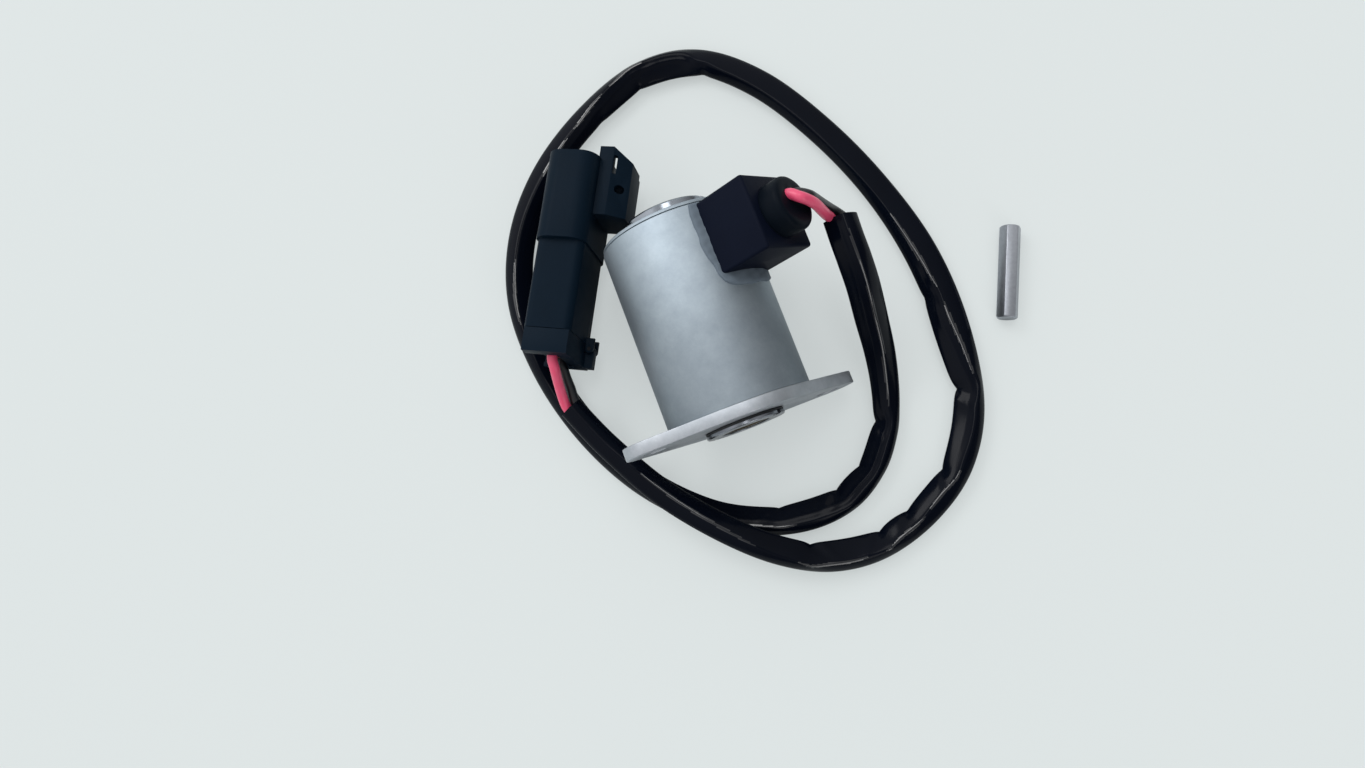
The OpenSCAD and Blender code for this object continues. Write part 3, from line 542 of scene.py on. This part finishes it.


# The can and its cap get painted shade towards the flange and painted light towards the rear.
zinc = zinc_plate("satin_zinc_plate", "#95A0A9", "#A3AEB6", 0.60, painted_front_shade=0.25)
can.data.materials.append(zinc)
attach(can, "solenoid_body")
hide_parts("housing_tube")

# ---- Mounting flange ----
# Stamped steel plate staked to the can's front: a round middle with two tapering ears and a
# plain hole in each. The stamping leaves a soft edge, and it has the can's plating.

ear_reach, ear_radius = 22.5, 6.5
bolt_hole_radius, spigot_radius = 2.75, 9.4
flange_thickness = can_front
bpy.ops.object.select_all(action="DESELECT")
bpy.ops.mesh.primitive_cylinder_add(vertices=128, radius=can_radius / 1000,
                                    depth=flange_thickness / 1000,
                                    location=(0, 0, flange_thickness / 2000))
flange = bpy.context.object
flange.name = "flange_plate"
bpy.ops.object.transform_apply(location=True, rotation=True, scale=True)
bpy.ops.object.mode_set(mode="EDIT")
for side in (-1, 1):
    bpy.ops.mesh.primitive_cylinder_add(vertices=72, radius=ear_radius / 1000,
                                        depth=flange_thickness / 1000,
                                        location=(side * ear_reach / 1000, 0,
                                                  flange_thickness / 2000))
bpy.ops.mesh.select_all(action="SELECT")
bpy.ops.mesh.convex_hull()
bpy.ops.mesh.select_all(action="SELECT")
bpy.ops.mesh.dissolve_limited(angle_limit=math.radians(0.5))
bpy.ops.mesh.normals_make_consistent(inside=False)
bpy.ops.object.mode_set(mode="OBJECT")
for x, radius, sides in ((-ear_reach, bolt_hole_radius, 64), (ear_reach, bolt_hole_radius, 64),
                         (0, spigot_radius, 128)):
    bpy.ops.object.select_all(action="DESELECT")
    bpy.ops.mesh.primitive_cylinder_add(vertices=sides, radius=radius / 1000, depth=0.01,
                                        location=(x / 1000, 0, 0))
    cut(flange, bpy.context.object)
rounded(flange, 0.28, 3)
settle(flange, laid)
flange.data.materials.append(zinc_plate("stamped_zinc_plate", "#A2A8AF", "#B9BEC4", 0.52))
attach(flange, "solenoid_body")
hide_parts("mounting_flange")

# ---- Pilot spigot and its seal ----
# Turned steel ring that centres the part in its bore. A rubber ring sits in the groove at its
# root, and two slots in its end take a pin spanner.

spigot = turned("pilot_spigot_ring", [
    (5.66, -1.35), (5.81, -1.5), (9.15, -1.5), (spigot_radius, -1.25), (spigot_radius, -0.65),
    (9.3, -0.6), (8.8, -0.6), (8.8, 0.0), (spigot_radius, 0.0), (spigot_radius, 6.0),
    (5.66, 6.0), (5.66, -1.35)])
settle(spigot, laid)
slot_turns = (35, 215)
for turn in slot_turns:
    notch = block_of((1.2, 1.2, 3.2), (0, -1.2, spigot_radius))
    notch.matrix_world = Matrix.Rotation(roll + math.radians(turn), 4, "Y")
    cut(spigot, notch)
settle(spigot, Matrix.Identity(4), 30)

# Bright turned steel: fine rings from the tool, about 0.15 mm apart, round the axis.
bright, place = finish_named("bright_turned_steel")
axis_view = add(bright, "ShaderNodeMapping", {"Rotation": (math.radians(90), 0, 0)},
                {"Vector": place})
rings = add(bright, "ShaderNodeTexWave", {"wave_type": "RINGS", "rings_direction": "Z",
                                          "Scale": 1100.0, "Distortion": 0.4, "Detail": 1.0},
            {"Vector": axis_view.outputs["Vector"]})
stain = add(bright, "ShaderNodeTexNoise", {"Scale": 260.0, "Detail": 3.0}, {"Vector": place})
tint = add(bright, "ShaderNodeMix", {"data_type": "RGBA", "A": linear("#757A81"),
                                     "B": linear("#969AA1")}, {"Factor": stain.outputs["Fac"]})
relief = add(bright, "ShaderNodeBump", {"Strength": 0.2, "Distance": 0.00004},
             {"Height": rings.outputs["Fac"]})
steel = add(bright, "ShaderNodeBsdfPrincipled", {"Metallic": 1.0, "Roughness": 0.24},
            {"Base Color": tint.outputs["Result"], "Normal": relief.outputs["Normal"]})
add(bright, "ShaderNodeOutputMaterial", None, {"Surface": steel.outputs["BSDF"]})
spigot.data.materials.append(bright)
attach(spigot, "solenoid_body")
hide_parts("pilot_spigot")

seal = turned("pilot_seal_ring", [
    (8.82, -0.55), (9.1, -0.58), (9.27, -0.5), (9.33, -0.3), (9.27, -0.1), (9.1, -0.02),
    (8.82, -0.05), (8.82, -0.55)])
settle(seal, laid)
# Nitrile rubber: dull black with a faint bloom.
nitrile, place = finish_named("black_nitrile_rubber")
bloom = add(nitrile, "ShaderNodeTexNoise", {"Scale": 500.0, "Detail": 4.0}, {"Vector": place})
tint = add(nitrile, "ShaderNodeMix", {"data_type": "RGBA", "A": linear("#101216"),
                                      "B": linear("#1B1E23")}, {"Factor": bloom.outputs["Fac"]})
relief = add(nitrile, "ShaderNodeBump", {"Strength": 0.25, "Distance": 0.0001},
             {"Height": bloom.outputs["Fac"]})
dull = add(nitrile, "ShaderNodeBsdfPrincipled", {"Roughness": 0.52, "IOR": 1.52},
           {"Base Color": tint.outputs["Result"], "Normal": relief.outputs["Normal"]})
add(nitrile, "ShaderNodeOutputMaterial", None, {"Surface": dull.outputs["BSDF"]})
seal.data.materials.append(nitrile)
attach(seal, "solenoid_body")
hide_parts("pilot_seal")

# ---- Rear end cap ----
# Steel disc pressed into the can's rear. Its rim stands just behind the can, a hair smaller,
# so a thin dark line runs round the joint.

cap = turned("end_cap_disc", [
    (6.5, 43.1), (can_bore, 43.1), (can_bore, can_rear), (16.35, 47.14), (16.7, 47.3),
    (16.7, 47.8), (16.5, 48.0), (11.2, 48.0), (11.0, 47.9), (10.9, 47.9), (6.5, 47.9),
    (6.5, 43.1)], 192)
settle(cap, laid)
cap.data.materials.append(zinc)
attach(cap, "solenoid_body")
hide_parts("end_cap")

# ---- Rear collar ----
# Turned and chromed ring screwed over the end of the pole piece. Its edge is chamfered and
# two slots are cut across the rim for a spanner.

collar_radius = 10.8
collar = turned("rear_collar_ring", [
    (6.5, 48.0), (10.62, 48.0), (collar_radius, 48.18), (collar_radius, 50.95), (10.62, 51.2),
    (10.35, 51.4), (6.7, 51.4), (6.5, 51.2), (6.5, 48.0)])
settle(collar, laid)
for turn in slot_turns:
    notch = block_of((1.2, 3.4, 3.2), (0, 50.5, collar_radius))
    notch.matrix_world = Matrix.Rotation(roll + math.radians(turn), 4, "Y")
    cut(collar, notch)
settle(collar, Matrix.Identity(4), 30)
# Chrome plate: a clean mirror with a faint haze.
chrome, place = finish_named("chrome_plate")
haze = add(chrome, "ShaderNodeTexNoise", {"Scale": 400.0, "Detail": 3.0}, {"Vector": place})
haze_range = add(chrome, "ShaderNodeMapRange", {"To Min": 0.12, "To Max": 0.24},
                 {"Value": haze.outputs["Fac"]})
relief = add(chrome, "ShaderNodeBump", {"Strength": 0.08, "Distance": 0.00005},
             {"Height": haze.outputs["Fac"]})
mirror = add(chrome, "ShaderNodeBsdfPrincipled",
             {"Metallic": 1.0, "Base Color": linear("#8E949C")},
             {"Roughness": haze_range.outputs["Result"], "Normal": relief.outputs["Normal"]})
add(chrome, "ShaderNodeOutputMaterial", None, {"Surface": mirror.outputs["BSDF"]})
collar.data.materials.append(chrome)
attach(collar, "solenoid_body")
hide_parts("rear_collar")

# ---- Core, bushes and coil ----
# What lies inside the can: pole piece, plunger and rod of soft iron and steel, bushes, the
# brass guide tube, and the bobbin with its winding and tape.


def metal(name, dark, light, roughness, scale):
    """Machined metal with a faint grain that clouds its shine."""
    finish, place = finish_named(name)
    grain = add(finish, "ShaderNodeTexNoise", {"Scale": scale, "Detail": 3.0}, {"Vector": place})
    tint = add(finish, "ShaderNodeMix", {"data_type": "RGBA", "A": linear(dark),
                                         "B": linear(light)}, {"Factor": grain.outputs["Fac"]})
    relief = add(finish, "ShaderNodeBump", {"Strength": 0.15, "Distance": 0.00006},
                 {"Height": grain.outputs["Fac"]})
    surface = add(finish, "ShaderNodeBsdfPrincipled", {"Metallic": 1.0, "Roughness": roughness},
                  {"Base Color": tint.outputs["Result"], "Normal": relief.outputs["Normal"]})
    add(finish, "ShaderNodeOutputMaterial", None, {"Surface": surface.outputs["BSDF"]})
    return finish


iron = metal("machined_soft_iron", "#7E8388", "#969A9F", 0.36, 900.0)
bronze = metal("oiled_bronze", "#5B5446", "#6E6655", 0.42, 2200.0)
brass = metal("drawn_brass", "#B8974C", "#CBA95C", 0.3, 700.0)
copper = metal("enamelled_copper", "#9C5024", "#B8652F", 0.32, 2600.0)


def moulded(name, dark, light, roughness, scale, bump=0.15):
    """Plastic or rubber with the fine even texture that the mould leaves."""
    finish, place = finish_named(name)
    spark = add(finish, "ShaderNodeTexNoise", {"Scale": scale, "Detail": 2.0}, {"Vector": place})
    rub = add(finish, "ShaderNodeTexNoise", {"Scale": 110.0, "Detail": 4.0, "Roughness": 0.6},
              {"Vector": place})
    tint = add(finish, "ShaderNodeMix", {"data_type": "RGBA", "A": linear(dark),
                                         "B": linear(light)}, {"Factor": rub.outputs["Fac"]})
    shine = add(finish, "ShaderNodeMapRange", {"To Min": roughness - 0.06,
                                               "To Max": roughness + 0.08},
                {"Value": rub.outputs["Fac"]})
    relief = add(finish, "ShaderNodeBump", {"Strength": bump, "Distance": 0.0001},
                 {"Height": spark.outputs["Fac"]})
    surface = add(finish, "ShaderNodeBsdfPrincipled", {"Specular IOR Level": 0.045},
                  {"Base Color": tint.outputs["Result"], "Roughness": shine.outputs["Result"],
                   "Normal": relief.outputs["Normal"]})
    add(finish, "ShaderNodeOutputMaterial", None, {"Surface": surface.outputs["BSDF"]})
    return finish


bobbin_nylon = moulded("bobbin_nylon", "#1B1C1F", "#26282B", 0.5, 1500.0)
winding_tape = moulded("polyester_tape", "#C4AD62", "#D8C27A", 0.4, 900.0)
washer_fibre = moulded("washer_fibre", "#232322", "#30302E", 0.7, 1800.0)
seal_silicone = moulded("seal_silicone", "#5A2322", "#6E2D2B", 0.45, 900.0)
for node_name, finish in (
        ("pole_piece", iron), ("front_flux_ring", iron), ("plunger", iron),
        ("push_rod", bright), ("front_bush", bronze), ("rod_bush", bronze),
        ("guide_tube", brass), ("terminal_tags", brass), ("connector_pins", brass),
        ("coil_winding", copper), ("coil_tails", copper), ("coil_bobbin", bobbin_nylon),
        ("cover_hinge_pin", bobbin_nylon), ("winding_tape", winding_tape),
        ("stop_washer", washer_fibre), ("cable_seals", seal_silicone)):
    nodes[node_name].data.materials.clear()
    nodes[node_name].data.materials.append(finish)

# ---- Return spring ----
# Open coil of round spring steel wire over the rod, between the pocket of the plunger and the
# pocket of the pole piece, made at its open length. In the part it closes to half its length as the
# plunger is drawn in.

wire_radius, coil_radius, coil_pitch, coil_turns = 0.4, 2.75, 2.51, 6
coil_front = 23.05
bpy.ops.object.select_all(action="DESELECT")
bpy.ops.mesh.primitive_circle_add(vertices=14, radius=wire_radius / 1000, fill_type="NOTHING",
                                  location=(coil_radius / 1000, 0, 0),
                                  rotation=(math.radians(90), 0, 0))
spring = bpy.context.object
spring.name = "spring_coil"
bpy.ops.object.transform_apply(location=True, rotation=True, scale=True)
turns = spring.modifiers.new("turns", "SCREW")
turns.axis = "Z"
turns.iterations = coil_turns
turns.screw_offset = coil_pitch / 1000
turns.steps = 32
bpy.ops.object.modifier_apply(modifier="turns")
bpy.ops.object.mode_set(mode="EDIT")
bpy.ops.mesh.select_all(action="SELECT")
bpy.ops.mesh.remove_doubles(threshold=0.000001)
bpy.ops.mesh.fill_holes(sides=0)
bpy.ops.mesh.normals_make_consistent(inside=False)
bpy.ops.object.mode_set(mode="OBJECT")
spring.location = (0, (coil_front + wire_radius) / 1000, 0)
spring.rotation_euler = (math.radians(-90), 0, 0)
bpy.ops.object.transform_apply(location=True, rotation=True, scale=True)
bpy.ops.object.shade_smooth()
spring.data.materials.append(metal("spring_wire_steel", "#8E9296", "#A7ABAF", 0.28, 1500.0))
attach(spring, "solenoid_body")
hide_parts("return_spring")
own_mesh(spring)

# ---- Terminal block ----
# Black moulded box that sits astride the can, with its neck down in the window. The joints
# of the coil wire and the leads are potted in it, and its mould has small corner radii.

block_laid = Matrix.Rotation(block_turn, 4, "Y")
block_width, block_length, block_depth = 17.1, 16.8, 14.6
block = block_of((block_width, block_length, block_depth), (0, 38.2, 21.0))
block.name = "potted_block"
pick(block)
bpy.ops.object.mode_set(mode="EDIT")
bpy.ops.mesh.select_all(action="SELECT")
bpy.ops.mesh.bevel(offset=0.0007, segments=4, profile=0.5, affect="EDGES")
bpy.ops.object.mode_set(mode="OBJECT")
bpy.ops.object.select_all(action="DESELECT")
bpy.ops.mesh.primitive_cylinder_add(vertices=192, radius=can_radius / 1000, depth=0.08,
                                    rotation=(math.radians(90), 0, 0))
cut(block, bpy.context.object)
settle(block, block_laid, 30)
# Glass filled nylon: matt near black with a cold sheen from the spark eroded mould.
block_nylon = moulded("filled_nylon", "#090E1C", "#0E1423", 0.46, 2400.0, 0.22)
block.data.materials.append(block_nylon)
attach(block, "solenoid_body")
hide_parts("terminal_block")

# ---- Rubber boss ----
# Strain relief pressed into the block's outer face: a short round boss with a full crown,
# split by two holes in which the leads are a tight fit.

boss_place, boss_radius = 37.9, 6.2
lead_holes, lead_hole_radius = ((-1.6, 1.5), (1.3, 1.7)), 1.24
boss = turned("lead_boss", [
    (4.5, 24.8), (4.5, 28.3), (6.05, 28.3), (boss_radius, 28.45), (boss_radius, 32.0),
    (6.12, 32.45), (5.9, 32.85), (5.55, 33.13), (5.1, 33.26), (4.4, 33.3), (0.2, 33.3)], 96)
settle(boss, Matrix.Translation((0, boss_place / 1000, 0)))
for x, y in lead_holes:
    bpy.ops.object.select_all(action="DESELECT")
    bpy.ops.mesh.primitive_cylinder_add(vertices=40, radius=lead_hole_radius / 1000, depth=0.02,
                                        location=(x / 1000, (boss_place + y) / 1000, 0.034))
    cut(boss, bpy.context.object)
rounded(boss, 0.12, 2, 50)
settle(boss, block_laid, 30)
boss_rubber = moulded("boss_rubber", "#060C13", "#0B121B", 0.42, 1500.0, 0.12)
boss.data.materials.append(boss_rubber)
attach(boss, "solenoid_body")
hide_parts("block_grommet")

# ---- Sealant round the block ----
# Grey silicone wiped round the block's foot. It is a thin skin that follows the can, thicker
# against the block, and its edge wanders where the finger or spatula ran.

sealant_half, sealant_front, sealant_rear = 10.6, 26.5, 46.9
sealant_middle = (sealant_front + sealant_rear) / 2
sealant_reach = (sealant_rear - sealant_front) / 2
sealant_foot, sealant_crown = 16.96, 0.62
bpy.ops.object.select_all(action="DESELECT")
bpy.ops.mesh.primitive_grid_add(x_subdivisions=96, y_subdivisions=88, size=2)
sealant = bpy.context.object
sealant.name = "sealant_skin"
for vertex in sealant.data.vertices:
    u, v = vertex.co.x, vertex.co.y
    # The square grid is bent to a plate with round front corners.
    reach = max(abs(u), abs(v))
    corner = 1 - 0.17 * (abs(u * v) ** 2 if v < 0 else 0)
    wander = (0.30 * math.sin(3.1 * v + 0.6) + 0.14 * math.sin(8.3 * v + 1.9)
              + 0.05 * math.sin(17 * v))
    x = u * corner * sealant_half + (-1 if u < 0 else 1) * abs(u) ** 6 * (wander - 0.1)
    y = sealant_middle + v * corner * sealant_reach
    if v < 0:
        y += abs(v) ** 6 * 0.25 * (math.sin(3.9 * u + 0.8) + 0.3 * math.sin(11 * u))
    edge = min(1.0, (1 - reach) / 0.09)
    height = sealant_foot + sealant_crown * math.sqrt(max(0.0, 1 - (1 - edge) ** 2))
    height += 0.05 * math.sin(1.7 * x + 0.9 * y) + 0.04 * math.sin(2.9 * y - 1.1 * x)
    round_can = x / can_radius
    vertex.co = (height * math.sin(round_can) / 1000, y / 1000,
                 height * math.cos(round_can) / 1000)
bpy.ops.object.mode_set(mode="EDIT")
bpy.ops.mesh.select_all(action="SELECT")
bpy.ops.mesh.normals_make_consistent(inside=False)
bpy.ops.object.mode_set(mode="OBJECT")
bpy.ops.object.modifier_add(type="SOLIDIFY")
sealant.modifiers[-1].thickness = 0.0005
sealant.modifiers[-1].offset = -1
bpy.ops.object.modifier_apply(modifier=sealant.modifiers[-1].name)
settle(sealant, block_laid, 60)
# Silicone: mid grey, rubbery, wiped smooth with small pits.
silicone = moulded("grey_silicone", "#5A6570", "#6B7680", 0.55, 800.0, 0.3)
sealant.data.materials.append(silicone)
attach(sealant, "solenoid_body")
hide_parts("sealant_bead")

# ---- Connector half ----
# Sealed two way shroud half in black glass filled nylon, moulded in one piece with its latch
# block. The mould leaves small radii on every edge.


def from_solid(node_name, name, width, segments=3, angle=28):
    """The moulded piece: a merged copy of its solid, with every sharp edge broken."""
    source = nodes[node_name]
    piece = bpy.data.objects.new(name, source.data.copy())
    scene.collection.objects.link(piece)
    piece.data.materials.clear()
    pick(piece)
    bpy.ops.object.mode_set(mode="EDIT")
    bpy.ops.mesh.select_all(action="SELECT")
    bpy.ops.mesh.remove_doubles(threshold=0.000003)
    bpy.ops.mesh.dissolve_limited(angle_limit=math.radians(1.5))
    bpy.ops.object.mode_set(mode="OBJECT")
    rounded(piece, width, segments, angle)
    settle(piece, Matrix.Identity(4), 30)
    return piece


shroud = from_solid("connector_shroud", "connector_shroud_body", 0.22)
connector_nylon = moulded("connector_nylon", "#07141F", "#0B1A27", 0.44, 2200.0, 0.2)
shroud.data.materials.append(connector_nylon)
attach(shroud, "solenoid_body")
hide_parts("connector_shroud")

# ---- Connector rear cover ----
# Hinged cover that locks the cable seals in. It folds on a short pin at its foot and is
# moulded in the same black nylon.

rear_cover = from_solid("connector_rear_cover", "connector_cover", 0.16)
rear_cover.data.materials.append(connector_nylon)
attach(rear_cover, "rear_cover")
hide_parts("connector_rear_cover")

# ---- Loose push pin ----
# Hexagonal bar of bright drawn steel, cut to length and chamfered at both ends. It stands
# between the plunger and the valve when the part is in use.

push_pin = from_solid("push_pin", "hexagonal_push_pin", 0.08, 2)
drawn = metal("bright_drawn_steel", "#8E9299", "#A8ACB3", 0.32, 1200.0)
push_pin.data.materials.append(drawn)
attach(push_pin, "loose_pin")
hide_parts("push_pin")

# ---- The leads and sleeve on the coil body ----
# The sleeve runs from the boss round the coil body to the connector, with a bare stretch of
# both leads at each end.

for piece, node_name, slot_name in (
        (sleeve, "lead_sleeve", "black_sleeve"),
        (red_block_lead, "red_block_lead", "red_insulation"),
        (black_block_lead, "black_block_lead", "black_insulation"),
        (red_plug_lead, "red_plug_lead", "red_insulation"),
        (black_plug_lead, "black_plug_lead", "black_insulation")):
    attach(piece, "solenoid_body")
    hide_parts(node_name)
